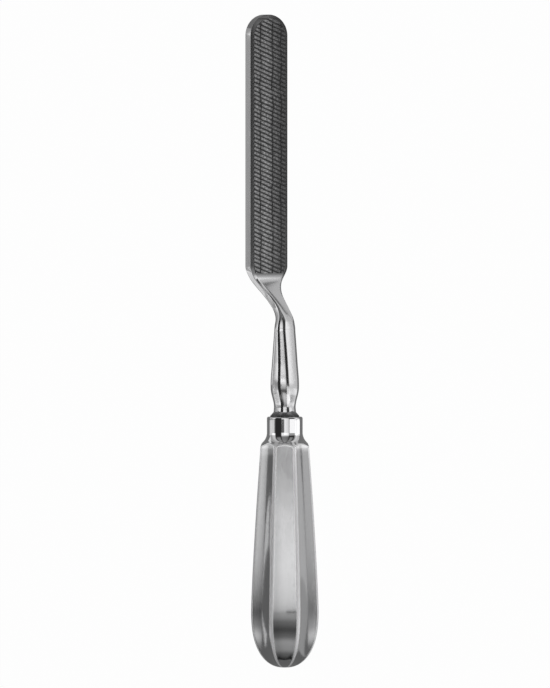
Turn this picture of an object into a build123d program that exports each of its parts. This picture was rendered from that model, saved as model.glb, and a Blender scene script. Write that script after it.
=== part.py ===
"""Bone file: a toothed steel blade on a cranked shank, set in a fluted octagonal steel handle.

The tool lies as it rests on a table: on two ridges of the handle and on one edge of the blade.
+Y runs from the butt to the tip, +Z is up, and the origin is under the middle of the whole tool.
Along the tool, stations are measured from the butt. Across it, "face" is the direction that the
upper toothed face looks in, and "edge" is the direction across that face.
"""

import os
from math import asin, cos, degrees, radians, sin, sqrt, tan

from build123d import *

# Whole tool
TOOL_LENGTH = 228.5
FACE_ROLL = 45.0  # the toothed face leans over by this much when the tool lies on a handle flat

# Handle
FLAT_COUNT = 8
HANDLE_WIDTH = 23.8  # across the ridges, where the handle is widest
HANDLE_WIDEST_AT = 20.0
HANDLE_TOP_WIDTH = 17.3
HANDLE_TOP_AT = 76.5
HANDLE_TAPER_CURVE = 1.25
BUTT_FULLNESS = 2.4
BUTT_BLUNTNESS = 2.3
RIDGE_WIDTH = 1.0
FLUTE_HOLLOW = 0.4
ARCH_EDGE_RADIUS = 0.25

# Collar turned on the front end of the handle
COLLAR_DIAMETER = 12.5
COLLAR_END_AT = 87.8
COLLAR_RIM_RADIUS = 0.6
SHOULDER_AT = 79.0  # where the flare runs into the cone that the flutes' ends are cut in
SHOULDER_SHARE = 0.7  # of the way out from the collar to the flutes, taken by the flare
FLARE_ANGLE = 45.0

# Tang and the socket bored for it
TANG_DIAMETER = 6.0
TANG_LENGTH = 46.0
TANG_POINT = 2.0
TANG_CLEARANCE = 0.1
SOCKET_END_GAP = 1.5
DRILL_POINT_HALF_ANGLE = 59.0

# Foot of the shank, seated on the collar
FOOT_DIAMETER = 10.2
FOOT_TOP_DIAMETER = 7.2
FOOT_EDGE = 0.4
FOOT_LENGTH = 2.0

# Shank: width along the edge direction, thickness along the face direction, bevel on each corner
ROOT_AT, ROOT_WIDTH, ROOT_THICKNESS, ROOT_BEVEL = 88.4, 7.5, 7.5, 1.8
WAIST_AT, WAIST_WIDTH, WAIST_THICKNESS, WAIST_BEVEL = 91.9, 7.0, 7.0, 1.6
SWELL_AT, SWELL_WIDTH, SWELL_THICKNESS, SWELL_BEVEL = 97.6, 9.9, 8.6, 2.25
TAPER_AT, TAPER_WIDTH, TAPER_THICKNESS, TAPER_BEVEL = 107.0, 9.2, 7.2, 1.9
NECK_AT, NECK_WIDTH, NECK_THICKNESS, NECK_BEVEL = 118.0, 8.4, 5.0, 1.5

# Crank between the shank and the blade
CRANK_START_AT = 120.9
CRANK_END_AT = 136.5
CRANK_OFFSET = 9.1
THROAT_AT = 126.0
THROAT_WIDTH = 5.4

# Blade
BLADE_START_AT = 140.5
BLADE_WIDTH = 18.4
BLADE_EDGE_THICKNESS = 2.55
BLADE_TIP_LENGTH = 7.4
MARGIN_WIDTH = 1.35
MARGIN_DEPTH = 0.3
SHOULDER_CURVE = 1.35

# Teeth
TEETH_START_AT = 137.9
TOOTH_PITCH = 1.5  # along the blade
TOOTH_ANGLE = 18.4  # of the rows, in the face
TOOTH_HEIGHT = 0.42
TOOTH_DEPTH = 0.36
TOOTH_FRONT = 0.3  # share of the pitch taken by the steep cutting side
TOOTH_LAND_RISE = 0.04  # the gullets' slopes would meet this far above the crests
FIELD_GAP = 0.1  # between the toothed field and the bevelled margin
SEAM_PLACES = (-4.6, 1.3, 5.5)  # grooves along the blade, measured across the upper face
SEAM_WIDTH = 0.5
SEAM_DEPTH = 0.3

# How finely the lofts follow their curves, and how far cutters reach past what they cut
DOME_SECTIONS = 9
POLE_SHARE = 0.15
BODY_SECTIONS = 6
CRANK_SECTIONS = 12
OVERRUN = 1.0

# Worked out from the sizes above
FLAT_ANGLE = 360 / FLAT_COUNT
HALF_FLAT = FLAT_ANGLE / 2
BLADE_THICKNESS = BLADE_EDGE_THICKNESS + 2 * MARGIN_DEPTH
SHOULDER_LENGTH = BLADE_START_AT - THROAT_AT
CRANK_LENGTH = CRANK_END_AT - CRANK_START_AT

# How the tool lies: the axis rises towards the blade, so the blade's edge just touches the table
HANDLE_DROP = HANDLE_WIDTH / 2
BLADE_DROP = (CRANK_OFFSET + BLADE_EDGE_THICKNESS / 2 + BLADE_WIDTH / 2) * sin(radians(FACE_ROLL))
REST_TILT = degrees(asin((BLADE_DROP - HANDLE_DROP) / (BLADE_START_AT - HANDLE_WIDEST_AT)))
AXIS_START_HEIGHT = HANDLE_DROP * cos(radians(REST_TILT)) - HANDLE_WIDEST_AT * sin(radians(REST_TILT))
SIDEWAYS_MIDDLE = (BLADE_DROP - HANDLE_DROP) / 2
LENGTHWISE_MIDDLE = TOOL_LENGTH * cos(radians(REST_TILT)) / 2

AXIS_WAY = Vector(0, cos(radians(REST_TILT)), sin(radians(REST_TILT)))
TOP_WAY = Vector(0, -sin(radians(REST_TILT)), cos(radians(REST_TILT)))
SIDE_WAY = Vector(1, 0, 0)
FACE_WAY = SIDE_WAY * sin(radians(FACE_ROLL)) + TOP_WAY * cos(radians(FACE_ROLL))
EDGE_WAY = SIDE_WAY * cos(radians(FACE_ROLL)) - TOP_WAY * sin(radians(FACE_ROLL))
BUTT_POINT = Vector(SIDEWAYS_MIDDLE, -LENGTHWISE_MIDDLE, AXIS_START_HEIGHT)

# across: a cross-section at the butt, with x along the face direction and y along the edge direction
# meridian: a plane through the axis, with x outwards and y along the tool
across = Plane(origin=BUTT_POINT, x_dir=FACE_WAY, z_dir=AXIS_WAY)
meridian = Plane(origin=BUTT_POINT, x_dir=SIDE_WAY, z_dir=SIDE_WAY.cross(AXIS_WAY))
tool_axis = Axis(BUTT_POINT, AXIS_WAY)


def ease(share):
    """A smooth step from 0 to 1 as the share goes from 0 to 1."""
    share = min(max(share, 0.0), 1.0)
    return share * share * (3 - 2 * share)


def between(start, end, share):
    return start + (end - start) * share


def handle_half_width(station):
    """Half the handle's width over its ridges, as a photograph from straight above shows it."""
    widest = HANDLE_WIDTH / 2
    if station < HANDLE_WIDEST_AT:
        left = 1 - station / HANDLE_WIDEST_AT
        return widest * (1 - left**BUTT_FULLNESS) ** (1 / BUTT_BLUNTNESS)
    share = (station - HANDLE_WIDEST_AT) / (HANDLE_TOP_AT - HANDLE_WIDEST_AT)
    return widest - (widest - HANDLE_TOP_WIDTH / 2) * share**HANDLE_TAPER_CURVE


def flute_radius(station):
    """From the axis to the middle of a flute."""
    return handle_half_width(station) * (1 - FLUTE_HOLLOW / (HANDLE_WIDTH / 2))


def polar(radius, angle):
    return (radius * cos(radians(angle)), radius * sin(radians(angle)))


def fluted_section(station):
    """Eight hollow flutes between eight narrow round ridges, all growing with the handle's width."""
    growth = handle_half_width(station) / (HANDLE_WIDTH / 2)
    ridge_half_angle = degrees(asin(RIDGE_WIDTH / HANDLE_WIDTH))
    ridge_radius = growth * HANDLE_WIDTH / 2 / cos(radians(HALF_FLAT - ridge_half_angle))
    with BuildSketch(across.offset(station)) as section:
        with BuildLine():
            for flat in range(FLAT_COUNT):
                middle = flat * FLAT_ANGLE
                start = polar(ridge_radius, middle - HALF_FLAT + ridge_half_angle)
                end = polar(ridge_radius, middle + HALF_FLAT - ridge_half_angle)
                after = polar(ridge_radius, middle + HALF_FLAT + ridge_half_angle)
                ThreePointArc(start, polar(flute_radius(station), middle), end)
                ThreePointArc(end, polar(ridge_radius, middle + HALF_FLAT), after)
        make_face()
    return section


def bevelled_section(station, offset, width, thickness, bevel_width, bevel_depth):
    """A rectangle with its four corners bevelled, moved along the face direction by the offset."""
    x_out, y_out = thickness / 2, width / 2
    x_in, y_in = x_out - bevel_depth, y_out - bevel_width
    corners = [
        (x_out, -y_in), (x_out, y_in), (x_in, y_out), (-x_in, y_out),
        (-x_out, y_in), (-x_out, -y_in), (-x_in, -y_out), (x_in, -y_out),
    ]
    with BuildSketch(across.offset(station)) as section:
        Polygon(*[(offset + x, y) for x, y in corners], align=None)
    return section


def crank_width(station):
    """Narrows from the neck to the throat, then widens into the blade's shoulders."""
    if station < THROAT_AT:
        return between(NECK_WIDTH, THROAT_WIDTH, ease((station - NECK_AT) / (THROAT_AT - NECK_AT)))
    share = (station - THROAT_AT) / SHOULDER_LENGTH
    return between(THROAT_WIDTH, BLADE_WIDTH, ease(share**SHOULDER_CURVE))


def crank_section(station):
    """The strip through the crank: it thins, narrows to the throat and widens to the blade."""
    along = (station - CRANK_START_AT) / CRANK_LENGTH
    offset = -CRANK_OFFSET * ease(along)
    slope = 0.0
    if 0 < along < 1:
        slope = CRANK_OFFSET * 6 * along * (1 - along) / CRANK_LENGTH
    stretch = sqrt(1 + slope * slope)
    to_throat = ease((station - NECK_AT) / (THROAT_AT - NECK_AT))
    thickness = between(NECK_THICKNESS, BLADE_THICKNESS, to_throat) * stretch
    bevel_width = between(NECK_BEVEL, MARGIN_WIDTH, to_throat)
    bevel_depth = between(NECK_BEVEL, MARGIN_DEPTH, to_throat)
    width = crank_width(station)
    return bevelled_section(station, offset, width, thickness, bevel_width, bevel_depth)


# Handle: a turned blank with its collar, ground with eight flutes that run out at the butt's pole
dome_steps = [(step + POLE_SHARE) / (DOME_SECTIONS + POLE_SHARE) for step in range(DOME_SECTIONS)]
dome_stations = [HANDLE_WIDEST_AT * (1 - cos(radians(90 * step))) for step in dome_steps]
body_step = (COLLAR_END_AT + OVERRUN - HANDLE_WIDEST_AT) / (BODY_SECTIONS - 1)
body_stations = [HANDLE_WIDEST_AT + step * body_step for step in range(BODY_SECTIONS)]

with BuildPart() as handle:
    fluted_sections = [fluted_section(station).sketch for station in dome_stations + body_stations]
    loft(sections=fluted_sections)

    collar_radius = COLLAR_DIAMETER / 2
    shoulder_radius = between(collar_radius, flute_radius(SHOULDER_AT), SHOULDER_SHARE)
    flare_radius = (shoulder_radius - collar_radius) / (1 - cos(radians(FLARE_ANGLE)))
    flare_start = SHOULDER_AT + flare_radius * sin(radians(FLARE_ANGLE))
    blank_radius = HANDLE_WIDTH
    cone_end = SHOULDER_AT - (blank_radius - shoulder_radius) / tan(radians(FLARE_ANGLE))
    rim = COLLAR_RIM_RADIUS
    with BuildSketch(meridian):
        with BuildLine():
            Polyline(
                (0, COLLAR_END_AT),
                (0, -OVERRUN),
                (blank_radius, -OVERRUN),
                (blank_radius, cone_end),
                (shoulder_radius, SHOULDER_AT),
            )
            CenterArc((collar_radius + flare_radius, flare_start), flare_radius, 180, FLARE_ANGLE)
            Line((collar_radius, flare_start), (collar_radius, COLLAR_END_AT - rim))
            CenterArc((collar_radius - rim, COLLAR_END_AT - rim), rim, 0, 90)
            Line((collar_radius - rim, COLLAR_END_AT), (0, COLLAR_END_AT))
        make_face()
    revolve(axis=tool_axis, mode=Mode.INTERSECT)

    cone_edges = handle.faces().filter_by(GeomType.CONE).edges()
    flare_edges = handle.faces().filter_by(GeomType.TORUS).edges()
    fillet(cone_edges - flare_edges, radius=ARCH_EDGE_RADIUS)

    socket_radius = TANG_DIAMETER / 2 + TANG_CLEARANCE
    socket_end = COLLAR_END_AT - TANG_LENGTH - SOCKET_END_GAP
    drill_point = socket_radius / tan(radians(DRILL_POINT_HALF_ANGLE))
    with BuildSketch(meridian):
        with BuildLine():
            Polyline(
                (0, COLLAR_END_AT),
                (socket_radius, COLLAR_END_AT),
                (socket_radius, socket_end),
                (0, socket_end - drill_point),
                close=True,
            )
        make_face()
    revolve(axis=tool_axis, mode=Mode.SUBTRACT)

# File blade: one forging, from the hidden tang through shank and crank to the toothed blade
blade_origin = BUTT_POINT - FACE_WAY * CRANK_OFFSET
upper_face = Plane(origin=blade_origin, x_dir=EDGE_WAY, z_dir=FACE_WAY)
lower_face = Plane(origin=blade_origin, x_dir=-EDGE_WAY, z_dir=-FACE_WAY)
tip_base_at = TOOL_LENGTH - BLADE_TIP_LENGTH
field_inset = MARGIN_WIDTH + FIELD_GAP


def tooth_comb(face):
    """The row of slanting gullets that one pass of the cutting chisel leaves, as a cutter."""
    row_way = face.x_dir * cos(radians(TOOTH_ANGLE)) - face.y_dir * sin(radians(TOOTH_ANGLE))
    start = face.origin + face.y_dir * TEETH_START_AT + face.z_dir * (BLADE_THICKNESS / 2)
    pitch = TOOTH_PITCH * cos(radians(TOOTH_ANGLE))
    overrun = BLADE_WIDTH / 2 * sin(radians(TOOTH_ANGLE))
    rows_before = int(overrun / pitch) + 1
    rows_after = int((TOOL_LENGTH - TEETH_START_AT + overrun) / pitch) + 1
    floor = TOOTH_HEIGHT - TOOTH_DEPTH
    crest = TOOTH_HEIGHT + TOOTH_LAND_RISE
    cover = TOOTH_HEIGHT + OVERRUN
    edge = [(-rows_before * pitch, cover)]
    for row in range(-rows_before, rows_after):
        edge.append((row * pitch, floor))
        edge.append(((row + 1 - TOOTH_FRONT) * pitch, crest))
    edge.append((rows_after * pitch, cover))
    across_rows = Plane(origin=start, x_dir=row_way.cross(-face.z_dir), z_dir=row_way)
    with BuildSketch(across_rows) as comb:
        Polygon(*edge, align=None)
    return comb


def cut_teeth(face):
    """A raised field on the blade's flat, cut into slanting rows and parted by long seams."""
    half = BLADE_WIDTH / 2 - field_inset
    start_half = crank_width(TEETH_START_AT) / 2 - field_inset
    crest_height = BLADE_THICKNESS / 2 + TOOTH_HEIGHT
    with BuildPart() as teeth:
        with BuildSketch(face.offset(BLADE_THICKNESS / 2 - MARGIN_DEPTH)):
            with BuildLine():
                Polyline(
                    (-half, tip_base_at),
                    (-half, BLADE_START_AT),
                    (-start_half, TEETH_START_AT),
                    (start_half, TEETH_START_AT),
                    (half, BLADE_START_AT),
                    (half, tip_base_at),
                )
                EllipticalCenterArc((0, tip_base_at), half, BLADE_TIP_LENGTH - field_inset, arc_size=180)
            make_face()
        extrude(amount=MARGIN_DEPTH + TOOTH_HEIGHT)
        extrude(tooth_comb(face).sketch, amount=BLADE_WIDTH, both=True, mode=Mode.SUBTRACT)
        with BuildSketch(Plane(face.origin + face.y_dir * BLADE_START_AT, face.x_dir, -face.y_dir)):
            for place in SEAM_PLACES:
                Polygon(
                    (place, crest_height - SEAM_DEPTH),
                    (place + SEAM_WIDTH, crest_height + SEAM_DEPTH),
                    (place - SEAM_WIDTH, crest_height + SEAM_DEPTH),
                    align=None,
                )
        extrude(amount=TOOL_LENGTH, both=True, mode=Mode.SUBTRACT)
    return teeth


shank_sections = [
    bevelled_section(at, 0, width, thickness, bevel, bevel)
    for at, width, thickness, bevel in (
        (ROOT_AT, ROOT_WIDTH, ROOT_THICKNESS, ROOT_BEVEL),
        (WAIST_AT, WAIST_WIDTH, WAIST_THICKNESS, WAIST_BEVEL),
        (SWELL_AT, SWELL_WIDTH, SWELL_THICKNESS, SWELL_BEVEL),
        (TAPER_AT, TAPER_WIDTH, TAPER_THICKNESS, TAPER_BEVEL),
        (NECK_AT, NECK_WIDTH, NECK_THICKNESS, NECK_BEVEL),
    )
]
crank_step = (BLADE_START_AT - CRANK_START_AT) / (CRANK_SECTIONS - 1)
crank_sections = [crank_section(CRANK_START_AT + step * crank_step) for step in range(CRANK_SECTIONS)]
teeth_fields = [cut_teeth(upper_face), cut_teeth(lower_face)]

with BuildPart() as file_blade:
    # The blade's blank, with a smooth bevelled margin round both faces
    with BuildSketch(upper_face):
        with BuildLine():
            half_width = BLADE_WIDTH / 2
            Polyline(
                (-half_width, tip_base_at),
                (-half_width, BLADE_START_AT),
                (half_width, BLADE_START_AT),
                (half_width, tip_base_at),
            )
            EllipticalCenterArc((0, tip_base_at), half_width, BLADE_TIP_LENGTH, arc_size=180)
        make_face()
    extrude(amount=BLADE_THICKNESS / 2, both=True)
    for last in (-1, 0):
        flat = file_blade.faces().sort_by(Axis(blade_origin, FACE_WAY))[last]
        rim_edges = flat.edges().sort_by(tool_axis)[1:]
        chamfer(rim_edges, length=MARGIN_WIDTH, length2=MARGIN_DEPTH, reference=flat)

    # Shank and crank
    loft(sections=[section.sketch for section in shank_sections + crank_sections])
    for field in teeth_fields:
        add(field.part)

    # Foot and tang
    foot_radius = FOOT_DIAMETER / 2
    foot_top_at = COLLAR_END_AT + FOOT_LENGTH
    tang_end_at = COLLAR_END_AT - TANG_LENGTH
    with BuildSketch(meridian):
        with BuildLine():
            Polyline(
                (0, foot_top_at),
                (0, tang_end_at),
                (TANG_DIAMETER / 2 - TANG_POINT / 2, tang_end_at),
                (TANG_DIAMETER / 2, tang_end_at + TANG_POINT),
                (TANG_DIAMETER / 2, COLLAR_END_AT),
                (foot_radius, COLLAR_END_AT),
                (foot_radius, COLLAR_END_AT + FOOT_EDGE),
                (FOOT_TOP_DIAMETER / 2, foot_top_at),
                close=True,
            )
        make_face()
    revolve(axis=tool_axis)

os.makedirs("parts", exist_ok=True)
handle.part.label = "handle"
export_step(handle.part, "parts/handle.step")
file_blade.part.label = "file_blade"
export_step(file_blade.part, "parts/file_blade.step")
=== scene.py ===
from math import asin, cos, pi, radians, sin, sqrt, tan
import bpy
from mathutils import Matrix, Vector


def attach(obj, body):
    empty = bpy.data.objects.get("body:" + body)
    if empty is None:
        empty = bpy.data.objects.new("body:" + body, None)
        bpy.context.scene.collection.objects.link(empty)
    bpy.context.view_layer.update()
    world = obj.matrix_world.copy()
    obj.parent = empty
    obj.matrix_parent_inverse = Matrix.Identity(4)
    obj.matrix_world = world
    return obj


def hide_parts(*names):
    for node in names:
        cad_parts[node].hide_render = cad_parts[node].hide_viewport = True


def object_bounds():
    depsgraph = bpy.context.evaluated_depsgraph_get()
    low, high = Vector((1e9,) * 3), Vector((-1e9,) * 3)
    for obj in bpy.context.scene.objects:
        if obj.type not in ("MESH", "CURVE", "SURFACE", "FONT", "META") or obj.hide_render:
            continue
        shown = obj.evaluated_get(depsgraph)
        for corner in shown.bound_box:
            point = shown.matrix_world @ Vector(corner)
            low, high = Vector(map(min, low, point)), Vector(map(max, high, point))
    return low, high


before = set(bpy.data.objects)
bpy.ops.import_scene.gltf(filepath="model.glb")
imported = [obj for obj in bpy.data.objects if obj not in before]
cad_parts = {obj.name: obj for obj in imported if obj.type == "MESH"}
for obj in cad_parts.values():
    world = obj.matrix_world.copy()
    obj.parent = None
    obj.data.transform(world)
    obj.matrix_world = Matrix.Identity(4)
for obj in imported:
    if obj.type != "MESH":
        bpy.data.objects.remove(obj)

from types import SimpleNamespace

import bpy
from bpy.props import FloatProperty, FloatVectorProperty, IntProperty, PointerProperty
from mathutils import Matrix, Vector

CAD_BOX = [list(map(float, corner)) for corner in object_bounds()]
MM = 0.001

bl_info = {
    "name": "Bone file",
    "version": (1, 0, 0),
    "blender": (4, 5, 0),
    "location": "View3D > Sidebar > Bone file",
    "description": "Dresses the packed bone file: handle, cranked blade, cut teeth and studio",
    "category": "Object",
}

# The solids' own sizes, in millimetres, with stations counted from the butt, and how the tool lies
TOOL_LENGTH = 228.5
FACE_ROLL = radians(45)
HANDLE_WIDTH = 23.8
HANDLE_WIDEST_AT = 20.0
CRANK_OFFSET = 9.1
BLADE_START_AT = 140.5
BLADE_WIDTH = 18.4
BLADE_EDGE_THICKNESS = 2.55
HANDLE_DROP = HANDLE_WIDTH / 2
BLADE_DROP = (CRANK_OFFSET + BLADE_EDGE_THICKNESS / 2 + BLADE_WIDTH / 2) * sin(FACE_ROLL)
REST_TILT = asin((BLADE_DROP - HANDLE_DROP) / (BLADE_START_AT - HANDLE_WIDEST_AT))
AXIS_WAY = Vector((0, cos(REST_TILT), sin(REST_TILT)))
TOP_WAY = Vector((0, -sin(REST_TILT), cos(REST_TILT)))
SIDE_WAY = Vector((1, 0, 0))
FACE_WAY = SIDE_WAY * sin(FACE_ROLL) + TOP_WAY * cos(FACE_ROLL)
EDGE_WAY = SIDE_WAY * cos(FACE_ROLL) - TOP_WAY * sin(FACE_ROLL)
BUTT_POINT = Vector(
    (
        (BLADE_DROP - HANDLE_DROP) / 2,
        -TOOL_LENGTH * cos(REST_TILT) / 2,
        HANDLE_DROP * cos(REST_TILT) - HANDLE_WIDEST_AT * sin(REST_TILT),
    )
)

# The photograph's frame in pixels, and where the tool's axis, tip and butt are in it
PHOTO_WIDTH, PHOTO_HEIGHT = 550, 688
PHOTO_AXIS_X = 284.8
PHOTO_TIP_Y, PHOTO_BUTT_Y = 14.7, 667.5
SENSOR_HEIGHT = 36.0

# Steel: scales of its noise, and what that does to roughness, tone and height
CLOUD_SCALE, SCRATCH_SCALE, SCRATCHES = 0.09, (9, 0.35, 9), (0.62, 0.7)
UNEVEN_GROUND, UNEVEN_POLISHED, UNEVEN_HIGHLIGHT = 0.08, 0.05, 0.1
SCRATCH_ROUGHNESS, SHADE_AND_JOINT_ROUGHNESS = 0.06, 0.15
GRAIN_TONE, CLOUD_TONE, DARKER, LIGHTER = 0.25, 0.2, 0.86, 1.1
GRAIN_POLISHED_OFF, SCRATCHES_POLISHED_OFF, SCRATCH_DEPTH = 0.9, 0.8, 0.6
# Painted highlight on the handle's ridges and rims: its colour and roughness
HIGHLIGHT_COLOUR, HIGHLIGHT_ROUGHNESS = 0.95, 0.6
# Painted shade, and the foot's dark joint: how dark they make the steel
SHADE_AND_JOINT_DARKNESS = 0.1
BUMP_HEIGHT = 0.00006  # in metres

# Handle: angles of the rings' points from a ridge, and the stations where the rings are closer
NEAR_RIDGE = (0.0, 0.012, 0.025, 0.038, 0.05, 0.065, 0.085, 0.11, 0.15, 0.2, 0.26, 0.32)
ARCHES_START, ARCHES_END = 75.5, 80.0
DOME_RINGS, BODY_RINGS, ARCH_RINGS, COLLAR_RINGS, RIM_RINGS = 56, 48, 60, 40, 9
DOME_START = 0.01  # how far the first ring is from the butt's pole
ROUND_FROM = 6.0  # half width under which the flutes' edges get sharper
LEAST_ROUND = 0.01
ARCH_BLEND = 0.4  # how softly the flutes run out into the flare
RIDGE_HIGHLIGHT = 0.16  # depth below a ridge that still gets the painted highlight
RIM_HIGHLIGHT = 0.35  # width of the painted highlight on the rim round the flutes' ends
# Station where the painted highlight on the ridges and rims has faded out, and over how far it
# fades
HIGHLIGHT_END, HIGHLIGHT_FADE = 84.0, 4.0
FLARE_POLISH_START, FLARE_POLISH_FADE = 0.1, 0.3
SOCKET_POLISH = 0.5
SOCKET_POINT = 0.05
DRILL_POINT_HALF_ANGLE = radians(59)

# Shank: station, width, thickness and bevel of each section
SHANK_SECTIONS = (
    (88.4, 7.5, 7.5, 1.8),
    (91.9, 7.0, 7.0, 1.6),
    (97.6, 9.9, 8.6, 2.25),
    (107.0, 9.2, 7.2, 1.9),
    (118.0, 8.4, 5.0, 1.5),
)
SHANK_RINGS, BLADE_RINGS, TIP_RINGS = 130, 24, 40
CORNER_STEPS = (0, 0.14, 0.3, 0.5, 0.7, 0.86, 1)  # shares of the way round a corner
CORNER_REACH = 0.44  # most of a side that its corner's rounding takes up
SHANK_POLISH, BLADE_POLISH = 0.85, 0.7
MARGIN_SHADE_START, MARGIN_SHADE_FADE, MARGIN_SHADE, MARGIN_SHADE_EDGE = 136.0, 2.0, 0.8, 0.1  # painted shade on the blade's margins and faces
TIP_END = 0.002  # from the last ring to the tip's point

# Foot and tang: how far each bevel runs in and along
TANG_BEVEL, FOOT_BEVEL, RIM_BEVEL, CROWN_BEVEL = (1, 2), (0.12, 0.1), (0.08, 0.08), (1, 0.1)
TANG_GUARD = 0.02
FOOT_POINTS = 72
FOOT_RINGS, FOOT_STAIN = range(4, 8), 0.9  # the foot's rim is dark, as its joint is

# Teeth: the block that is cut, and the outline's solid
TOOTH_ROWS, ROWS_BEFORE, LINES_PER_ROW = 66, 3, 10
COLUMN_WIDTH = 0.13
OUTLINE_LEVELS = (-0.2, 2.0)
OUTLINE_POINTS = 48
FEWEST_POINTS = 1000
OTHER_SEED = 11  # added for the lower face
# Noise: its scales, and how far it shifts rows and seams
WOBBLE_SCALE, WOBBLE = (0.22, 0.71), 0.45
WANDER_SCALE, WANDER_LANE, WANDER = 0.13, 3.0, 2.2
UNEVEN_SCALE, BREAK_SCALE, SPECKLE_SCALE = (0.9, 5.3), (0.6, 0.4), 1.8
BREAKS, SPECKS = (0.3, 0.56), (0.4, 0.6)  # levels of noise between which these come in
ROW_SLACK = 0.001
SEAM_FADE, SEAM_BOTTOM = 0.08, 0.05
# Depths below the crests where the painted shade of the gullets ends, and where the painted
# highlight of the crests begins and is full, and how much of each the columns of painted light and
# the specks leave
SHADE_TOP, POLISH_START, POLISH_FULL = 0.12, 0.16, 0.04
LEAST_LIGHT, COLUMN_LIGHT, LEAST_SHINE, SPECK_SHINE = 0.3, 0.7, 0.3, 1.15
# The tree's inputs, and the size that each one takes
TOOTH_INPUTS = {
    "Start": "start",
    "Pitch": "pitch",
    "Slant": "slant",
    "Front": "front",
    "Depth": "depth",
    "Height": "height",
    "Overcut Pitch": "over_pitch",
    "Overcut Slant": "over_slant",
    "Overcut Depth": "over_depth",
    "Seam Width": "seam_width",
    "Seam Depth": "seam_depth",
    "Left Seam": "seam_left",
    "Middle Seam": "seam_middle",
    "Right Seam": "seam_right",
    "Jitter": "jitter",
    "Seed": "seed",
    "Width": "width",
    "Length": "length",
}
# Painted light and shade in columns across the toothed face: place and level
PAINTED_LIGHT_COLUMNS = (
    (-8, 0.75), (-6.6, 0.95), (-5.2, 0.6), (-4.5, 0.7), (-2.2, 1), (0.2, 0.7), (1.3, 0.25),
    (2.8, 0.4), (4.4, 0.1), (5.6, 0.0), (8, 0.0),
)

# Surroundings: an angle in degrees and the level there, 1 for white. Across, angles go from
# straight up to the right, and along, towards the tip.
LAMP_ACROSS = ((-25, 0), (-18, 1.04), (0, 1), (21, 0.74), (30, 0))
LAMP_ALONG = (
    (-86, 0.02), (-66, 0.18), (-48, 0.5), (-35, 0.57), (-25, 0.2), (-17, 0.08), (-10, 0.22),
    (-4, 0.6), (0, 1.0), (3.0, 1.6), (4.4, 1.75), (7.5, 1.2),
)
LEFT_ACROSS = ((-90, 0.75), (-80, 1.0), (-69, 1.3), (-61, 0))
LEFT_ALONG = (
    (-62, 0.3), (-45, 0.35), (-33, 0.45), (-19, 0.95), (-8, 0.35), (-2, 0.14), (0.8, 0.14),
    (3.1, 1.1), (10, 1.0), (22, 0.5), (80, 0.35),
)
RIGHT_ACROSS = ((62, 0), (72, 0.9), (90, 0.9))
RIGHT_ALONG = (
    (-50, 0.25), (-35, 0.35), (-19, 1.1), (-8, 0.6), (-2, 0.4), (0.8, 0.35), (3.3, 0.95),
    (12, 0.95), (24, 0.4), (80, 0.35),
)
# Bands of angles: where each one starts, is full, begins to fade and ends
FRONT_GAP, FRONT_GAP_SLANT = (4.7, 5.4, 5.9, 6.6), 0.0155
COLLAR_GAP, COLLAR_GAP_END, COLLAR_GAP_DEPTH = (-3.4, -2.6, -1.8, -1.2), (-5, 0), 0.9
LAMP_FADE, LAMP_FADE_DEPTH = (14, 34), 0.8
LEFT_SIDE, RIGHT_SIDE = (-61, -52, -34, -25), (30, 39, 53, 62)
BUTT_SIDE, BUTT_SIDE_LEVEL = (-68, -54, -44, -30), 0.9
TIP_SIDE, TIP_SIDE_LEVEL = (26, 44, 70, 84), 0.3
TIP_SKY, TIP_SKY_LEVEL = (50, 80), 0.1
DARKEST = 0.03

# Cards, in millimetres: name, tilt to the right in degrees, distance from the line that the
# tilt turns about, height of that line, width, two ends along the tool, level and shift right
TABLE = (180, -0.5, 0)  # for a card that lies on the table, face up
CARDS = (
    ("right_softbox", 51, 600, 0, 460, (-526, -26), 1.0, 0),
    ("left_card_0", -90, 50, 14, 34, (-36.5, 135), 0.27, 0),
    ("left_card_1", -90, 50, 17, 30, (-36.5, 135), 0.27, 0),
    ("left_card_2", -90, 50, 20, 26, (-36.5, 135), 0.27, 0),
    ("left_card_3", -90, 50, 23, 22, (-36.5, 135), 0.27, 0),
    ("right_card", 90, 60, 16, 34, (-34, 135), 0.5, 0),
    ("collar_card", 29, 24, 12.4, 28.2, (-35, -27), 0.42, -0.7),
    ("collar_left_card", -90, 25, 15.5, 20, (-36, -28), 0.45, 0),
    ("collar_right_card", 90, 25, 17, 17.5, (-36, -28), 0.6, 0),
    ("right_table_card_0", *TABLE, 1455, (-80, -27), 0.62, 772),
    ("right_table_card_1", *TABLE, 1455, (-165, -27), 0.36, 772),
    ("right_table_card_2", *TABLE, 1455, (-165, -125), 0.6, 772),
    ("left_table_card_0", *TABLE, 1405, (-68, -48), 0.8, -797),
    ("left_table_card_1", *TABLE, 1405, (-165, -125), 0.8, -797),
    ("crank_table_card_0", *TABLE, 42, (14, 37), 0.45, 29),
    ("crank_table_card_1", *TABLE, 42, (14, 43), 0.4, 29),
    ("shank_table_card", *TABLE, 37, (-16, 8), 0.75, -43),
)

# Floor, in metres
FLOOR_REACH, FLOOR_GAP = 4.0, 0.00002
FLOOR_WHITE = 0.985  # the rest is matt, and shows the tool's shadow
GLOSSY_WHITE = 0.2  # of the white, for what the steel mirrors
CAMERA_RAY, GLOSSY_RAY, TRANSMISSION_RAY = 0, 3, 6  # outputs of the Light Path node


def ease(share):
    """A smooth step from 0 to 1 as the share goes from 0 to 1."""
    share = min(max(share, 0.0), 1.0)
    return share * share * (3 - 2 * share)


def between(start, end, share):
    return start + (end - start) * share


def soft_min(first, second, blend):
    """The smaller of two values, with the corner where they cross rounded over the blend."""
    gap = max(blend - abs(first - second), 0.0)
    return min(first, second) - gap * gap / (4 * blend)


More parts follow.
